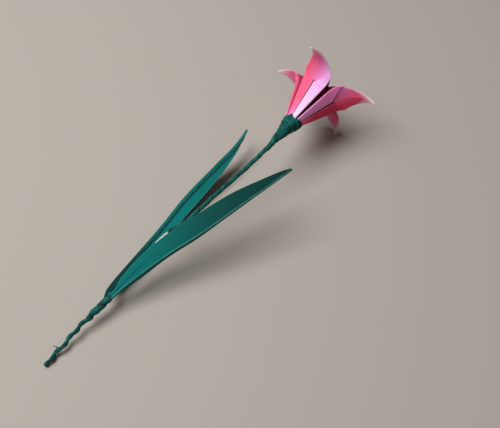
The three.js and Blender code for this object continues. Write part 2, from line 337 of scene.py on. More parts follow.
bloom = {
    "halfSide": 37.5,           # half the side of the square sheet
    "start": 0.09,              # where the visible paper starts, in half sides from the apex
    "apex": (31.1, 9.4, 26.1),
    "turn": 5.5, "rise": 0.5, "roll": 28.8,
    # each petal's place round the axis, its lean, curl and sideways sway, lightSide +1 where the
    # light side of the sheet is on its far side, how far its seam has sprung open at the top,
    # and its extra darkening: painted shade, most on the petal turned away from the light
    "petals": [
        {"place": -37, "lean": 21.2, "curl": 108, "sway": -1.9, "lightSide": 1,
         "opening": 0.4, "shadeDarkening": 0},
        {"place": 40, "lean": 19.9, "curl": 79.5, "sway": 2.2, "lightSide": -1,
         "opening": 0.95, "shadeDarkening": 0.24},
        {"place": -132, "lean": 20.6, "curl": 76, "sway": -0.8, "lightSide": -1,
         "opening": 0.4, "shadeDarkening": 0},
        {"place": 132.5, "lean": 17.6, "curl": 97.5, "sway": -1.5, "lightSide": 1,
         "opening": 0.5, "shadeDarkening": 0.05},
    ],
    "profileSteps": 240, "tipHalfWidth": 0.3,
    "shoulderBend": 8, "bendSpan": (0.74, 0.9), "curlStart": 0.8,
    "seamTop": 0.81,            # where the seam ends, in half sides from the apex
    "shoulder": 0.955,
    "lightShoulder": 1.02,      # where a light flap's top edge meets its crease
    "hinge": 0.765,             # where the light flaps' upper ply stops at that crease
    "crown": 0.35, "crownSpan": (0.72, 1.0), "crownWidth": 7,
    "middleCrease": 0.14, "creaseSpread": 0.35,
    "plyThickness": 0.24, "flapThickness": 0.26, "thinPly": 0.16, "coreDepth": 0.1,
    "stripSpan": (0.35, 0.995), # the inner strips, as half sides and as a share of the tip
    "seamGap": 0.16, "flapLift": 0.45, "flapHeight": 0.2, "pillow": 0.16,
    "foldRadius": 0.15, "upperFoldRadius": 0.21, "upperPlyStep": 0.17,
    "lightWidening": 1.09,      # the light flaps bulge past their flat width
    "grooveThickness": 0.2, "grooveTop": 0.975, "valleyDrop": 0.06, "valleyLean": 12.6,
    "grooveInset": 0.985, "grooveDepth": 0.06, "valleyRound": 0.0016,
}
halfSide = bloom["halfSide"]
petalTip = math.sqrt(2) * halfSide
flapSlope = math.tan(11.25 * degrees)
apex = np.array(bloom["apex"])
turn, rise, roll = bloom["turn"] * degrees, bloom["rise"] * degrees, bloom["roll"] * degrees
bloomAxis = np.array([math.cos(turn) * math.cos(rise), math.sin(turn) * math.cos(rise),
                      math.sin(rise)])
bloomUp = unit(np.array([0, 0, 1.0]) - bloomAxis * bloomAxis[2])
bloomSide = np.cross(bloomAxis, bloomUp)


def outwards(angle):
    # the direction square to the bloom's axis at an angle round it from its top
    angle = np.asarray(angle)[..., None]
    return bloomUp * np.cos(angle) + bloomSide * np.sin(angle)


def petalLine(lean, curl):
    # straight at its lean to the seam's top, a bend there, then a steady curl back: the running
    # sums of the cosine and sine of that angle
    steps = bloom["profileSteps"]
    step = petalTip / steps
    middle = (np.arange(steps) + 0.5) * step
    bendStart, bendEnd = bloom["bendSpan"]
    bend = bloom["shoulderBend"] * smooth(middle, bendStart * halfSide, bendEnd * halfSide)
    curlStart = bloom["curlStart"] * halfSide
    curled = curl * np.maximum(middle - curlStart, 0) / (petalTip - curlStart)
    angle = (lean + bend + curled) * degrees
    return {
        "distance": np.arange(steps + 1) * step,
        "along": np.concatenate([[0], np.cumsum(np.cos(angle) * step)]),
        "out": np.concatenate([[0], np.cumsum(np.sin(angle) * step)]),
        "angle": np.interp(np.arange(steps + 1) * step, middle, angle),
    }


def petalPoint(petal, distance, sideways, height):
    # the middle line's point, moved sideways across the petal and by height off its outer face
    line = petalLine(petal["lean"], petal["curl"])
    along = np.interp(distance, line["distance"], line["along"])
    out = np.interp(distance, line["distance"], line["out"])
    angle = np.interp(distance, line["distance"], line["angle"])
    share = np.maximum(distance - bloom["shoulder"] * halfSide, 0)
    share = share / (petalTip - bloom["shoulder"] * halfSide)
    around = roll + petal["place"] * degrees
    onAxis = (along - height * np.sin(angle))[..., None] * bloomAxis
    onOut = (out + height * np.cos(angle))[..., None] * outwards(around)
    onSide = (sideways + petal["sway"] * share ** 2)[..., None] * outwards(around + math.pi / 2)
    return apex + onAxis + onOut + onSide


def petalHalfWidth(distance):
    # the flap's slope up to the shoulder, then a straight taper to a narrow tip
    shoulder = bloom["shoulder"] * halfSide
    taper = np.minimum((petalTip - distance) / (petalTip - shoulder), 1)
    return flapSlope * np.minimum(distance, shoulder) * taper + (1 - taper) * bloom["tipHalfWidth"]


def crownHeight(distance, fraction):
    # the blade is rounded across, most at the shoulder and less at the tip, with a faint
    # crease along its middle
    crownStart, crownEnd = bloom["crownSpan"]
    grow = smooth(distance, crownStart * halfSide, crownEnd * halfSide)
    width = petalHalfWidth(distance)
    crease = bloom["middleCrease"] * np.exp(-(fraction * width / bloom["creaseSpread"]) ** 2)
    crown = bloom["crown"] * (width / bloom["crownWidth"])
    return grow * (crown * (1 - fraction ** 2) + crease)


def sheetPlace(x, y):
    # a place on the flat sheet, as shares of its half side from its middle
    return {"sheetX": np.abs(x) / halfSide, "sheetY": np.abs(y) / halfSide}


def bladeSheet(distance, sideways, lightSide):
    # the outer face is the sheet's own corner, its diagonal along the petal; only there is the
    # sheet's pale border seen, partly the paper's paler edge and partly a painted glancing highlight
    b = sideways * lightSide
    facts = sheetPlace((distance + b) / math.sqrt(2), (distance - b) / math.sqrt(2))
    facts["border"] = np.maximum(facts["sheetX"], facts["sheetY"])
    return facts


def flapSheet(distance, sideways, isLight):
    # a flap shows the paper between 22.5 and 33.75 degrees from the diagonal, its folded edge
    # at the seam
    inward = np.arctan2(np.abs(sideways), distance) / degrees
    reach = np.hypot(distance, sideways)
    angle = np.where(isLight, 22.5 - inward, 67.5 + inward) * degrees
    return sheetPlace(reach * np.cos(angle), reach * np.sin(angle))


def petalCore(petal):
    # the petal's whole length as one ply, from the base to the tip
    u = rimmed(74, 0.004)
    f = rimmed(33, 0.02) * 2 - 1
    distance = (bloom["start"] + (math.sqrt(2) - bloom["start"]) * u[:, None]) * halfSide
    distance, fraction = np.broadcast_arrays(distance, f[None, :])
    width = petalHalfWidth(distance)
    sideways = fraction * width
    height = crownHeight(distance, fraction) - bloom["coreDepth"]
    grid = petalPoint(petal, distance, sideways, height)
    facts = bladeSheet(distance, sideways, petal["lightSide"])
    # painted highlight along the blade's edges
    facts["wear"] = smooth(np.abs(fraction) * width, width - 0.3, width)
    # painted shade: dark maroon down the seam gap between the flaps, up to the seam's top
    inSeam = 1 - smooth(np.abs(sideways), 0.6, 1.4)
    facts["depth"] = inSeam * (1 - smooth(distance, 0.82 * halfSide, 0.85 * halfSide))
    # painted shade for a petal turned from the light, a little less on the core
    facts["tint"] = np.full_like(distance, petal["shadeDarkening"] * 0.7)
    return sheetPart(grid, bloom["plyThickness"], facts)


def petalStrip(petal, hand):
    # one of the two inner strips, from the blade's edge nearly to the middle, following it
    u = rimmed(60, 0.004)
    f = rimmed(14, 0.02)
    stripStart, stripEnd = bloom["stripSpan"]
    distance = (stripStart + (math.sqrt(2) * stripEnd - stripStart) * u[:, None]) * halfSide
    distance, fraction = np.broadcast_arrays(distance, f[None, :])
    width = petalHalfWidth(distance)
    share = 0.02 + 0.965 * fraction
    sideways = hand * share * width
    lift = 0.05 * np.sin(distance * 0.9 + hand) * (1 - fraction)
    beneath = bloom["coreDepth"] + bloom["plyThickness"] + 0.02  # clear of the ply above
    height = crownHeight(distance, share) - beneath - np.abs(lift)
    grid = petalPoint(petal, distance, sideways, height)
    facts = bladeSheet(distance, sideways, petal["lightSide"])
    # painted highlight along the strip's inner edge
    facts["wear"] = smooth(share, 0.05, 0.0) * 0.6
    # painted shade: darker towards the base, deep inside the bloom
    facts["depth"] = 0.25 * smooth(distance, 0.9 * halfSide, 0.5 * halfSide)
    # the petal's painted shade
    facts["tint"] = np.full_like(distance, petal["shadeDarkening"])
    return sheetPart(grid, bloom["thinPly"], facts)


def petalFlap(petal, hand, onTop=False):
    # a narrowing flap: out from the seam to the crease, round the crease as a half circle, and
    # down to the ply beneath; its top edge runs slantwise from the seam's end to the shoulder,
    # or for the ply on top of it to the hinge
    u = rimmed(60, 0.005)
    q = np.concatenate([rimmed(18, 0.012)[:-3], np.linspace(1, 1.18, 9)])
    fraction = np.minimum(q, 1)[None, :]
    around = np.clip((q - 1) / 0.18, 0, 1)[None, :] * math.pi
    isLight = petal["lightSide"] * hand > 0
    seamTop = bloom["seamTop"] * halfSide
    shoulder = bloom["lightShoulder" if isLight else "shoulder"] * halfSide
    shoulder = bloom["hinge"] * halfSide if onTop else shoulder
    end = seamTop / (1 - fraction * (shoulder - seamTop) / shoulder)
    begin = bloom["start"] * halfSide
    distance = begin + (end - begin) * u[:, None]
    distance, fraction, around = np.broadcast_arrays(distance, fraction, around)
    width = petalHalfWidth(distance) * (bloom["lightWidening"] if isLight else 1.0)
    up = distance / seamTop
    bend = bloom["upperFoldRadius" if onTop else "foldRadius"]
    gap = bloom["seamGap"] / 2 + petal["opening"] / 2 * smooth(up, 0.1, 1.0)
    inner = gap + (width - bend - gap) * fraction
    sideways = hand * (inner + bend * np.sin(around))
    opening = bloom["flapLift"] * smooth(up, 0.4, 1.1) * (1 - fraction) ** 2
    pillow = bloom["pillow"] * np.sin(math.pi * fraction) * smooth(up, 0.2, 0.8)
    height = bloom["flapHeight"] + opening + pillow - bend * (1 - np.cos(around))
    height = height + (bloom["upperPlyStep"] if onTop else 0)
    height = height + crownHeight(distance, fraction) * 0.8
    grid = petalPoint(petal, distance, sideways, height)
    facts = flapSheet(distance, inner, isLight)
    # painted highlight on the flap's seam edge and its rounded crease
    facts["wear"] = 0.7 * smooth(inner, gap + 0.3, gap) + 0.35 * smooth(fraction, 0.96, 1.0)
    hingeEnd = seamTop / (1 - fraction * (1 - seamTop / (bloom["hinge"] * halfSide)))
    # painted shade: a dark line just past the hinge, on the lower ply of a light flap
    facts["depth"] = 0.4 * np.exp(-((distance - hingeEnd - 0.15) / 0.2) ** 2) * (not onTop) * isLight
    # the petal's painted shade
    facts["tint"] = np.full_like(distance, petal["shadeDarkening"])
    return sheetPart(grid, bloom["thinPly" if onTop else "flapThickness"], facts)


def groove(petal, following):
    # the paper between two petals: from each outer crease straight in to a valley
    begin = roll + petal["place"] * degrees
    finish = roll + following["place"] * degrees
    if finish < begin:
        finish += 2 * math.pi
    u = rimmed(30, 0.006)
    v = rimmed(35, 0.01) * 2 - 1
    inset = np.abs(v)[None, :]
    top = bloom["grooveTop"] - bloom["valleyDrop"] * (1 - inset)
    distance = (bloom["start"] + (top - bloom["start"]) * u[:, None]) * halfSide
    distance, fraction = np.broadcast_arrays(distance, v[None, :])
    rounded = np.sqrt(fraction ** 2 + bloom["valleyRound"])
    lean = bloom["valleyLean"] * degrees
    valley = apex + (distance * math.cos(lean))[..., None] * bloomAxis
    valley = valley + (distance * math.sin(lean))[..., None] * outwards((begin + finish) / 2)
    reach = flapSlope * distance * bloom["grooveInset"]
    sunk = np.full_like(distance, -bloom["grooveDepth"])
    near = petalPoint(petal, distance, reach, sunk)
    far = petalPoint(following, distance, -reach, sunk)
    crease = np.where(fraction[..., None] < 0, near, far)
    grid = valley + (crease - valley) * np.minimum(rounded, 1)[..., None]
    isLight = petal["lightSide"] > 0  # the light border lies between this petal and the next
    angle = np.where(isLight, 11.25 * np.abs(fraction), 90 - 11.25 * np.abs(fraction)) * degrees
    facts = sheetPlace(distance * np.cos(angle), distance * np.sin(angle))
    # painted highlight along the groove's creases
    facts["wear"] = smooth(np.abs(fraction), 0.94, 1.0) * 0.5
    # painted shade: dark maroon in the valley, fading out towards the creases
    facts["depth"] = 0.9 - 0.9 * smooth(np.abs(fraction), 0.72, 0.99)
    return sheetPart(grid, bloom["grooveThickness"], facts)


def makePetalPaper():
    material, tree, shader = startMaterial("petalPaper", 0.5)
    sheetX, sheetY = readFact(tree, "sheetX"), readFact(tree, "sheetY")
    grain = addGroup(tree, paperGrain, Scale=1500, Cloud_Scale=160)
    cloud = mathNode(tree, "MULTIPLY_ADD", grain.outputs["Cloud"], 0.08, -0.04)
    slope = mathNode(tree, "MULTIPLY_ADD", sheetX, -1.0, mathNode(tree, "MULTIPLY", sheetY, 1.75))
    dyeAndShade = mathNode(tree, "MAXIMUM", slope, mathNode(tree, "MULTIPLY", sheetX, 0.25))
    # the petal's painted shade is added on top of the paper's own dye
    dyeAndShade = mathNode(tree, "ADD", mathNode(tree, "MINIMUM", dyeAndShade, 0.72),
                          readFact(tree, "tint"))
    colour = ramp(tree, mathNode(tree, "ADD", dyeAndShade, cloud), [
        (0.0, (0.88, 0.74, 0.95)),
        (0.2, (0.82, 0.42, 0.80)),
        (0.36, (0.80, 0.27, 0.60)),
        (0.52, (0.82, 0.16, 0.40)),
        (0.68, (0.88, 0.13, 0.27)),
        (0.84, (0.74, 0.05, 0.14)),
        (1.0, (0.55, 0.025, 0.08)),
    ])
    # pale tips: the paper's paler edge together with a painted highlight glancing along the tips
    pale = mathNode(tree, "MULTIPLY_ADD", readFact(tree, "border"), 7.0, -6.05, clamp=True)
    colour = mixColour(tree, pale, colour, (0.90, 0.80, 0.93))
    # painted highlight: folded edges lightened towards pale pink, broken up by the fibre
    highlightMix = mathNode(tree, "MULTIPLY", readFact(tree, "wear"),
                    mathNode(tree, "MULTIPLY", grain.outputs["Fibre"], 0.45))
    colour = mixColour(tree, highlightMix, colour, (0.95, 0.80, 0.90))
    # painted shade: the depth fact darkens the seams, the valleys and the bloom's inside to maroon
    colour = mixColour(tree, readFact(tree, "depth"), colour, (0.30, 0.006, 0.05))
    tree.links.new(colour, shader.inputs["Base Color"])
    gloss = mathNode(tree, "MULTIPLY_ADD", grain.outputs["Cloud"], 0.2, 0.42)
    tree.links.new(gloss, shader.inputs["Roughness"])
    shader.inputs["Specular IOR Level"].default_value = 0.18
    shader.inputs["Subsurface Weight"].default_value = 0.12
    shader.inputs["Subsurface Radius"].default_value = (0.0012, 0.0002, 0.0003)
    shader.inputs["Subsurface Scale"].default_value = 1.0
    addBump(tree, shader, grain.outputs["Height"], 0.25, 0.00006)
    return material


def makeBloom():
    petals = bloom["petals"]
    order = sorted(petals, key=lambda petal: petal["place"])
    parts = []
    for petal in petals:
        parts.append(petalCore(petal))
        parts += [petalStrip(petal, hand) for hand in (-1, 1)]
        parts += [petalFlap(petal, hand) for hand in (-1, 1)]
        parts.append(petalFlap(petal, petal["lightSide"], onTop=True))
    parts += [groove(petal, order[(i + 1) % 4]) for i, petal in enumerate(order)]
    piece = makePiece("bloomPaper", parts, "bloom")
    piece.data.materials.append(makePetalPaper())
    return piece


# The stem: a twisted wire inside two windings of tape.

stem = {
    "line": [
        (-120, 9.3, 0.8), (-114, 10.2, 1.9), (-108, 10.1, 3.1), (-102, 10.9, 4.3),
        (-95, 11.1, 5.5), (-88, 11, 6.7), (-81, 10.9, 7.8), (-70, 11.5, 9.6), (-58, 13, 11.6),
        (-48, 14, 13.2), (-41, 13.8, 14.4), (-33, 11.6, 15.7), (-24, 10.9, 17.1),
        (-14, 10.6, 18.8), (-2, 9.8, 20.7), (10, 9.1, 22.7), (21, 9, 24.5), (31.1, 9.4, 26.1),
    ],
    "wireRadius": 0.52, "strandPitch": 2.3, "wireEnds": 0.9,
    "lowerRadius": 0.98, "lumpPitch": 7.8, "lumpHeight": 0.3, "bindingRadius": 1.75,
    "lowerEnd": 41.2, "bindingStart": 33, "swellStart": 24, "endSlant": 1.3,
    "thread": [(-111.2, 11.0, 2.9), (-111.3, 12.0, 3.6), (-111.9, 12.5, 4.1),
               (-112.3, 12.4, 4.5)],
    "threadRadius": 0.26,
    "upperReach": 73, "upperRadius": 1.05, "upperPitch": 8.5,
    "calyxTail": 10, "calyxRim": 9.0, "calyxRimRadius": 4.8, "calyxWall": 0.35,
    "calyxFlare": 1.4, "calyxFloor": 1.2, "squareness": 2.7, "squareSize": 0.93,
    # the rim's tall corner and small peak: degrees round from the first petal, height, spread
    "rimCorner": (92, 1.9, 0.75), "rimPeak": (-6, 0.8, 0.3),
}
stemSpline = splineThrough([*stem["line"], tuple(apex + 12 * bloomAxis)])
stemLength = stemSpline["distance"][(len(stem["line"]) - 1) * stemSpline["perSpan"]]


def wrinkle(distance, angle, seed, longest=6.0):
    # soft creases in paper tape: a sum of slanted waves with fixed random places
    draw = np.random.default_rng(seed)
    total = np.zeros(np.broadcast(distance, angle).shape)
    for _ in range(9):
        turns = draw.integers(-3, 4)
        length = draw.uniform(1.2, longest)
        phase = draw.uniform(0, 2 * math.pi)
        wave = np.sin(2 * math.pi * distance / length + turns * angle + phase)
        total = total + (1 - 2 * np.abs(wave)) * length / longest
    return total / 9


def wrapStep(distance, angle, pitch, hand=1):
    # the overlapped edge of a spiral winding: it rises slowly and drops at the tape's edge
    phase = np.mod(distance / pitch + hand * angle / (2 * math.pi), 1)
    return phase * (1 - smooth(phase, 0.9, 1.0)), smooth(phase, 0.86, 0.97)


def tapeFacts(distance, angle, edge, grid):
    # edge marks where painted groove shade goes: the tape's overlapping edge, and on the wire the dips
    # between the strands
    shape = grid.shape[:2]
    return {"along": np.broadcast_to(distance, shape), "around": np.broadcast_to(angle, shape),
            "edge": np.broadcast_to(edge, shape)}


def makeWirePart():
    # two twisted paper strands: a circle whose radius dips twice in each turn
    distance = np.linspace(stem["wireEnds"], stemLength - stem["wireEnds"], 620)[:, None]
    angle = (np.arange(20) / 20 * 2 * math.pi)[None, :]
    twist = np.abs(np.cos(angle - 2 * math.pi * distance / (2 * stem["strandPitch"])))
    radius = stem["wireRadius"] * (0.84 + 0.22 * twist)
    grid = tubeGrid(stemSpline, distance, angle, radius)
    # the dips between the strands are marked for painted shade
    return tubePart(grid, tapeFacts(distance, angle, 1 - twist, grid))


def makeLowerTape():
    # a lumpy spiral winding that swells where it binds the leaves
    end = stem["lowerEnd"]
    angle = (np.arange(48) / 48 * 2 * math.pi)[None, :]
    share = np.concatenate([[-0.1 / end, 0.0], np.linspace(0.15 / end, 1, 330)])[:, None]
    slant = stem["endSlant"] * np.sin(angle - 0.4) * smooth(share, 0.85, 1.0)
    distance = share * end + slant
    outer = stem["lowerRadius"] + (stem["bindingRadius"] - stem["lowerRadius"]) * smooth(
        distance, stem["swellStart"], stem["bindingStart"])
    fade = 1 - smooth(distance, stem["bindingStart"] - 4, stem["bindingStart"])
    turnAngle = angle - 2 * math.pi * distance / stem["lumpPitch"]
    uneven = 1 + 0.3 * np.sin(distance / 3.1 + 1.0)
    lump = uneven * (np.cos(turnAngle) + 0.35 * np.cos(2 * turnAngle + 0.6))
    rise, _ = wrapStep(distance, angle, stem["lumpPitch"] / 2, -1)
    phase = np.mod(distance / stem["lumpPitch"] - angle / (2 * math.pi) + 0.2, 1)
    edge = np.exp(-((phase - 0.5) / 0.11) ** 2)
    swell = 1 + stem["lumpHeight"] * fade * lump + 0.1 * (rise - 0.4)
    radius = outer * (swell - 0.2 * edge) + 0.12 * wrinkle(distance, angle, 11, 5.0)
    knob = 0.12 * np.exp(-((distance - 1.3) / 1.1) ** 2)
    radius = np.maximum((radius + knob) * (0.8 + 0.2 * smooth(distance, 1, 6)), 0.62)
    radius = radius * np.where(distance < 0, 0.6, np.where(distance < 0.1, 0.85, 1))
    radius = radius * (1 - 0.2 * smooth(share, 0.97, 1.0))
    grid = tubeGrid(stemSpline, distance, angle, radius)
    parts = [tubePart(grid, tapeFacts(distance, angle, edge, grid))]
    # a short curled thread of tape stands off the side
    t = np.linspace(0, 1, 14)[:, None]
    fibreLine = splineThrough(stem["thread"])
    fibreAngle = (np.arange(8) / 8 * 2 * math.pi)[None, :]
    thin = stem["threadRadius"] * (1 - 0.6 * t)
    fibre = tubeGrid(fibreLine, t * fibreLine["length"], fibreAngle, thin)
    # the thread is darkened all along by half of the painted groove shade
    parts.append(tubePart(fibre, tapeFacts(t * 3, fibreAngle, t * 0 + 0.5, fibre)))
    return parts


def rimBump(facing, bump):
    # a bell-shaped rise of the rim at one place round it, by the square of the angle from there
    place, height, spread = bump
    away = np.mod(facing - place * degrees + math.pi, 2 * math.pi) - math.pi
    return height * np.exp(-(away / spread) ** 2)


def makeUpperTape():
    # spiral winding up the stem that flares into the calyx, folded in over its uneven rim
    length = stemLength
    tail, rimAt = length - stem["calyxTail"], length + stem["calyxRim"]
    angle = (np.arange(96) / 96 * 2 * math.pi)[None, :]
    teeth = 0.55 * np.arcsin(np.sin(5 * angle + 0.9)) + 0.3 * np.arcsin(np.sin(8 * angle + 2.2))
    facing = angle - (math.pi / 2 + roll + bloom["petals"][0]["place"] * degrees)
    rim = rimAt + 0.25 * teeth + rimBump(facing, stem["rimCorner"]) + rimBump(facing, stem["rimPeak"])
    low = np.linspace(length - stem["upperReach"], tail, 300)[:, None] + 0 * angle
    flare = tail + (rim - tail) * np.linspace(0, 1, 110)[1:, None]
    distance = np.vstack([low, flare])
    share = np.maximum((distance - tail) / (stem["calyxTail"] + stem["calyxRim"]), 0)
    flareHeight = stem["calyxRimRadius"] - stem["upperRadius"]
    plain = stem["upperRadius"] + flareHeight * share ** stem["calyxFlare"]
    power = stem["squareness"]
    square = (np.abs(np.cos(facing)) ** power + np.abs(np.sin(facing)) ** power) ** (-1 / power)
    plain = plain * (1 + (square * stem["squareSize"] - 1) * smooth(share, 0.25, 0.9))
    pitch = stem["upperPitch"]
    rise, edge = wrapStep(distance, angle, pitch, 1)
    depth = 0.26 + 0.1 * smooth(share, 0.05, 0.5)
    crumple = (0.14 + 1.0 * share) * wrinkle(distance, angle, 5)
    radius = plain + depth * (rise - 0.45) + crumple + 0.1 * share * wrinkle(distance, angle, 6, 2.5)
    knee = 0.4 * np.exp(-((distance - tail - 0.5) / 1.5) ** 2) * (0.5 - 0.5 * np.sin(angle + 0.6))
    radius = radius + knee
    inside = np.linspace(1, 0, 26)[:, None]
    cavity = length + stem["calyxFloor"]
    innerDistance = cavity + (rim - cavity) * inside
    innerShare = (innerDistance - tail) / (stem["calyxTail"] + stem["calyxRim"])
    innerPlain = stem["upperRadius"] + flareHeight * innerShare ** stem["calyxFlare"]
    innerPlain = innerPlain * (1 + (square * stem["squareSize"] - 1) * smooth(innerShare, 0.25, 0.9))
    innerRadius = np.minimum(radius[-1:], innerPlain) - stem["calyxWall"]
    allDistance = np.vstack([distance, rim + 0.08, innerDistance])
    allRadius = np.vstack([radius, (radius[-1:] + innerRadius[:1]) / 2, innerRadius])
    grid = tubeGrid(stemSpline, allDistance, angle, allRadius)
    allEdge = np.vstack([edge, edge[-1:], np.zeros_like(innerRadius)])
    return [tubePart(grid, tapeFacts(allDistance, angle, allEdge, grid))]


def makeTapeMaterial(name, light, dark, roughness, relief):
    material, tree, shader = startMaterial(name, roughness)
    crepe = addGroup(tree, crepeTape, Along=readFact(tree, "along"), Around=readFact(tree, "around"))
    blotch = mathNode(tree, "MULTIPLY_ADD", crepe.outputs["Blotch"], 2.4, -0.75, clamp=True)
    colour = mixColour(tree, blotch, dark, light)
    # painted shade: darker in the grooves at the tape's overlapping edges and between the twisted
    # strands
    shade = mathNode(tree, "MULTIPLY", readFact(tree, "edge"), 0.75)
    colour = mixColour(tree, shade, colour, tuple(c * 0.35 for c in dark))
    tree.links.new(colour, shader.inputs["Base Color"])
    gloss = mathNode(tree, "MULTIPLY_ADD", crepe.outputs["Blotch"], -0.3, roughness + 0.15)
    tree.links.new(gloss, shader.inputs["Roughness"])
    shader.inputs["Specular IOR Level"].default_value = 0.22
    addBump(tree, shader, crepe.outputs["Height"], 0.35, relief)
    return material


def makeStem():
    wire = makePiece("twistedWire", [makeWirePart()], "stem_wire")
    wire.data.materials.append(makeTapeMaterial(
        "whiteWirePaper", (0.84, 0.80, 0.77), (0.66, 0.61, 0.58), 0.6, 0.00004))
    tape = makeTapeMaterial("greenTape", (0.003, 0.14, 0.125), (0.001, 0.045, 0.042), 0.78, 0.00012)
    lower = makePiece("lowerWinding", makeLowerTape(), "lower_tape")
    upper = makePiece("upperWinding", makeUpperTape(), "upper_tape")
    lower.data.materials.append(tape)
    upper.data.materials.append(tape)


# The leaves, each a folded strip with a wire in its fold.

leaves = {
    "thickness": 0.3, "boundHalfWidth": 2.3, "boundLength": 4.5, "wireRadius": 0.4,
    "ridge": 0.16, "cup": 0.55, "wireSpan": (0.08, 0.94), "wireGap": 0.2, "bead": 0.42,
    "hemRadius": 0.75, "hemLeast": 0.25, "hemMouth": 0.55, "hemTurn": 1.1,
    "front": {
        "fold": [
            (-84.3, 9.95, 7.7), (-81.5, 9.95, 8.3), (-78, 9.4, 9.6), (-72, 8.3, 11.8),
            (-53, 3.7, 18.2), (-32, -2.8, 24.3), (-13, -7.3, 29.4), (3, -10.7, 32.6),
            (14.3, -12.7, 34.9),
        ],
        "halves": ((12, 5, 0), (-84, -66, -60)), "widths": (9.1, 9.1), "widest": 0.5,
        "fullness": (0.75, 0.75), "seed": 3, "hem": False, "fade": 1,
    },
    "back": {
        "fold": [
            (-84.3, 11.95, 6.8), (-81.5, 12, 7), (-78, 14, 5.9), (-72, 16.6, 3.6),
            (-56, 21.1, 1), (-35.5, 25.5, -0.229), (-16, 28.9, 1.3), (6.6, 29.2, 6),
            (20, 29, 9.3), (29.5, 30.6, 12),
        ],
        "halves": ((80, 116, 118), (128, 155, 150)), "widths": (2.4, 9.1), "widest": 0.56,
        "fullness": (0.4, 1.05), "seed": 8, "hem": True, "fade": 0.4,
    },
}


def threeWay(values, t):
    # the parabola through a value at the base, the middle and the tip
    base, middle, tip = values
    return base * (1 - t) * (1 - 2 * t) + middle * 4 * t * (1 - t) + tip * t * (2 * t - 1)


def leafHalfWidth(leaf, side, length, t):
    # a lens outline whose widest place and bluntness at each end are set, never thinner than
    # the bound base
    bound = leaves["boundLength"] / length
    free = np.clip((t - bound) / (1 - bound), 0, 1)
    warped = free ** (math.log(0.5) / math.log(leaf["widest"]))
    blunt = np.where(warped < 0.5, leaf["fullness"][0], leaf["fullness"][1])
    blade = leaf["widths"][side] * np.maximum(4 * warped * (1 - warped), 0) ** blunt
    return np.maximum(blade, leaves["boundHalfWidth"] * (1 - t) ** 4 + 0.3)


def acrossLeaf(angle):
    # a direction square to the stem's run, at an angle from level
    angle = angle * degrees
    return np.stack([np.zeros_like(angle), np.cos(angle), np.sin(angle)], -1)


def leafPart(leaf):
    # each half runs out from the fold in its own direction, bowed a little, with a pinched fold
    # and slightly waving edges; a hem is rolled on from the fold round the wire instead
    spline = splineThrough(leaf["fold"])
    t = rimmed(150, 0.003)[:, None]
    v = np.concatenate([-rimmed(26, 0.02)[:0:-1], rimmed(22, 0.02)])
    t, v = np.broadcast_arrays(t, v[None, :])
    isFirst = v < 0
    length = spline["length"]
    width = np.where(isFirst, leafHalfWidth(leaf, 0, length, t), leafHalfWidth(leaf, 1, length, t))
    reach = np.abs(v) * width
    first, second = threeWay(leaf["halves"][0], t), threeWay(leaf["halves"][1], t)
    angle = np.where(isFirst, first, second)
    tangent = tangentAt(spline, t * length)
    hand = np.where(isFirst, -1.0, 1.0)[..., None]
    normal = unit(np.cross(tangent, acrossLeaf(angle))) * hand
    outside = unit(acrossLeaf(first) + acrossLeaf(second))
    draw = np.random.default_rng(leaf["seed"])
    phases = draw.uniform(0, 2 * math.pi, 4)
    run = t * length
    wave = 0.22 * np.sin(run / 9.5 + phases[0]) + 0.12 * np.sin(run / 4.1 + phases[1])
    wave = wave * np.abs(v) ** 1.5 * smooth(t, 0.06, 0.25)
    soft = -0.28 * np.exp(-((np.abs(v) - 0.34) / 0.09) ** 2) * smooth(t, 0.42, 0.12)
    cup = leaves["cup"] * (4 * np.abs(v) * (1 - np.abs(v))) * smooth(t, 0.03, 0.3)
    straight = acrossLeaf(angle) * reach[..., None] - normal * (wave + soft + cup)[..., None]
    if leaf["hem"]:
        # a circular arc that leaves the fold square to its bisector and comes back over the
        # wire, wider at its mouth near the base
        body = leaves["hemRadius"] * smooth(t, 0.0, 0.05) * (1 - 0.55 * smooth(t, 0.9, 1.0))
        mouth = leaves["hemMouth"] * smooth(t, 0.0, 0.03) * (1 - smooth(t, 0.08, 0.38))
        radius = body + leaves["hemLeast"] + mouth
        turned = np.abs(v) * (leaves["hemTurn"] * math.pi)
        sideward = unit(acrossLeaf(first) - outside * np.sum(
            acrossLeaf(first) * outside, -1, keepdims=True))
        arc = (sideward * np.sin(turned)[..., None] + outside * (1 - np.cos(turned))[..., None])
        straight = np.where(isFirst[..., None], arc * radius[..., None], straight)
    grid = alongSpline(spline, t * length) + straight
    pinch = leaves["ridge"] * np.exp(-(reach / 0.4) ** 2) * (0 if leaf["hem"] else 1)
    grid = grid - outside * pinch[..., None]
    facts = {
        # leafAlong carries the painted tip shade; fade shortens it on the back leaf
        "leafAlong": t * leaf["fade"],
        # painted highlight along the fold ridge and the free edge
        "wear": np.maximum(np.exp(-(reach / 0.3) ** 2), smooth(reach, width - 0.25, width)),
        # painted shadow: the rolled hem near the base, the broad half's base, and a band where the
        # hem's shadow falls on the broad half
        "beneath": leaf["hem"] * np.where(
            isFirst, smooth(np.abs(v), 0.22, 0.4) * (1 - smooth(t, 0.2, 0.5)),
            np.maximum(1 - smooth(t, 0.14, 0.42), 0.95 * np.exp(-((reach - 2.6) / 1.0) ** 2))),
    }
    return sheetPart(grid, leaves["thickness"], facts)


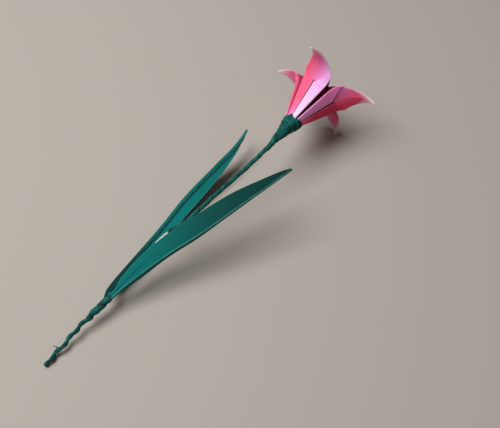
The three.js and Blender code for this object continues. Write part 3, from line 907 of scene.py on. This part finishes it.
def leafWirePart(leaf):
    # taped wire lying in the fold, with a bead of tape at its tip
    spline = splineThrough(leaf["fold"])
    wireStart, wireEnd = leaves["wireSpan"]
    t = wireStart + (wireEnd - wireStart) * np.arange(13) / 12
    first, second = threeWay(leaf["halves"][0], t), threeWay(leaf["halves"][1], t)
    clear = leaves["wireRadius"] + leaves["thickness"] / 2 + leaves["wireGap"]
    climb = clear / np.sin(np.abs(first - second) / 2 * degrees)
    points = alongSpline(spline, t * spline["length"]) + acrossLeaf((first + second) / 2) * (
        climb[:, None])
    line = splineThrough([*points, spline["line"][-1]])
    distance = np.linspace(0, line["length"] - 0.35, 330)[:, None]
    angle = (np.arange(14) / 14 * 2 * math.pi)[None, :]
    rise, edge = wrapStep(distance, angle, 4.2)
    left = line["length"] - distance
    bead = leaves["bead"] * np.exp(-((left - 1.0) / 0.75) ** 2)
    radius = leaves["wireRadius"] * (0.92 + 0.16 * rise) + bead
    radius = radius * np.clip(np.sqrt(np.maximum(left, 0) / 0.8), 0.2, 1)
    grid = tubeGrid(line, distance, angle, radius)
    return tubePart(grid, tapeFacts(distance, angle, edge, grid))


def makeLeafPaper():
    material, tree, shader = startMaterial("leafPaper", 0.6)
    grain = addGroup(tree, paperGrain, Scale=1300, Cloud_Scale=90)
    # painted shade: lightest at the base and much darker towards the tip, standing for the tip turning
    # from the light and the sheen at the base
    colour = ramp(tree, readFact(tree, "leafAlong"), [
        (0.0, (0.002, 0.170, 0.162)),
        (0.3, (0.002, 0.130, 0.122)),
        (0.6, (0.002, 0.066, 0.060)),
        (1.0, (0.002, 0.028, 0.025)),
    ])
    vary = mathNode(tree, "MULTIPLY_ADD", grain.outputs["Cloud"], 0.35, 0.82)
    colour = mixColour(tree, 1.0, colour, vary, "MULTIPLY")
    # painted shadow: darkened towards near-black teal wherever beneath is set
    shade = mathNode(tree, "MULTIPLY", readFact(tree, "beneath"), 0.88)
    colour = mixColour(tree, shade, colour, (0.002, 0.03, 0.03))
    # painted highlight: lighter teal on the fold and edges, broken up by the fibre
    highlightMix = mathNode(tree, "MULTIPLY", readFact(tree, "wear"),
                    mathNode(tree, "MULTIPLY", grain.outputs["Fibre"], 0.75))
    colour = mixColour(tree, highlightMix, colour, (0.12, 0.45, 0.42))
    tree.links.new(colour, shader.inputs["Base Color"])
    gloss = mathNode(tree, "MULTIPLY_ADD", grain.outputs["Cloud"], 0.2, 0.62)
    tree.links.new(gloss, shader.inputs["Roughness"])
    shader.inputs["Specular IOR Level"].default_value = 0.07
    addBump(tree, shader, grain.outputs["Height"], 0.2, 0.00005)
    return material


def makeLeaves():
    paper = makeLeafPaper()
    wireTape = makeTapeMaterial("leafWireTape", (0.012, 0.10, 0.09), (0.004, 0.045, 0.042), 0.55,
                                0.00005)
    for side in ("front", "back"):
        leaf = makePiece(f"leafBlade_{side}", [leafPart(leaves[side])], f"leaf_{side}")
        leaf.data.materials.append(paper)
        wire = makePiece(f"leafWire_{side}", [leafWirePart(leaves[side])], f"leaf_{side}_wire")
        wire.data.materials.append(wireTape)


# Floor, light and camera.

studio = {
    "floorSize": 3.0, "floorColour": (0.41, 0.385, 0.35),
    "focus": (24.857, -12.745, 0.401), "heading": 46.33, "elevation": 56.5, "distance": 439.0,
    "lens": 64.8, "sensor": 36, "clip": (0.01, 20),
    "keyBearing": -84, "keyElevation": 65, "keyDistance": 0.9, "keySize": 0.62, "keyPower": 9.4,
    "keyColour": (1.0, 0.98, 0.97),
    "skyStrength": 0.13, "skyColour": (0.95, 0.80, 0.74),
}


def makeFloor():
    half = studio["floorSize"] / 2
    mesh = bpy.data.meshes.new("floor")
    mesh.from_pydata([(-half, -half, 0), (half, -half, 0), (half, half, 0), (-half, half, 0)], [],
                     [(0, 1, 2, 3)])
    floor = bpy.data.objects.new("floor", mesh)
    bpy.context.scene.collection.objects.link(floor)
    material, tree, shader = startMaterial("palePaint", 0.8)
    shader.inputs["Base Color"].default_value = (*studio["floorColour"], 1)
    shader.inputs["Specular IOR Level"].default_value = 0.2
    mesh.materials.append(material)


def makeLight(name, bearing, elevation, distance, size, power, colour):
    # bearing is measured from the view's own heading, to the left when negative
    focus = Vector(studio["focus"]) * 0.001
    heading = (studio["heading"] + bearing) * degrees
    rise = elevation * degrees
    away = Vector((math.sin(heading) * math.cos(rise), math.cos(heading) * math.cos(rise),
                   math.sin(rise)))
    lamp = bpy.data.lights.new(name, "AREA")
    lamp.shape = "DISK"
    lamp.size = size
    lamp.energy = power
    lamp.color = colour
    holder = bpy.data.objects.new(name, lamp)
    holder.location = focus + away * distance
    holder.rotation_mode = "QUATERNION"
    holder.rotation_quaternion = away.to_track_quat("Z", "Y")
    bpy.context.scene.collection.objects.link(holder)


def makeStudio():
    makeFloor()
    makeLight("keyLight", studio["keyBearing"], studio["keyElevation"], studio["keyDistance"],
              studio["keySize"], studio["keyPower"], studio["keyColour"])
    world = bpy.data.worlds.new("studioAir")
    world.use_nodes = True
    air = world.node_tree.nodes["Background"]
    air.inputs["Color"].default_value = (*studio["skyColour"], 1)
    air.inputs["Strength"].default_value = studio["skyStrength"]
    bpy.context.scene.world = world
    bpy.context.scene.view_settings.view_transform = "Standard"
    camera = bpy.data.cameras.new("camera")
    camera.lens = studio["lens"]
    camera.sensor_width = studio["sensor"]
    camera.clip_start, camera.clip_end = studio["clip"]
    holder = bpy.data.objects.new("camera", camera)
    heading, fall = studio["heading"] * degrees, studio["elevation"] * degrees
    forward = Vector((math.sin(heading) * math.cos(fall), math.cos(heading) * math.cos(fall),
                      -math.sin(fall)))
    focus = Vector(studio["focus"]) * 0.001
    holder.location = focus - forward * studio["distance"] * 0.001
    holder.rotation_mode = "QUATERNION"
    holder.rotation_quaternion = forward.to_track_quat("-Z", "Y")
    bpy.context.scene.collection.objects.link(holder)
    bpy.context.scene.camera = holder


makeBloom()
makeStem()
makeLeaves()
makeStudio()
print("studio ready")
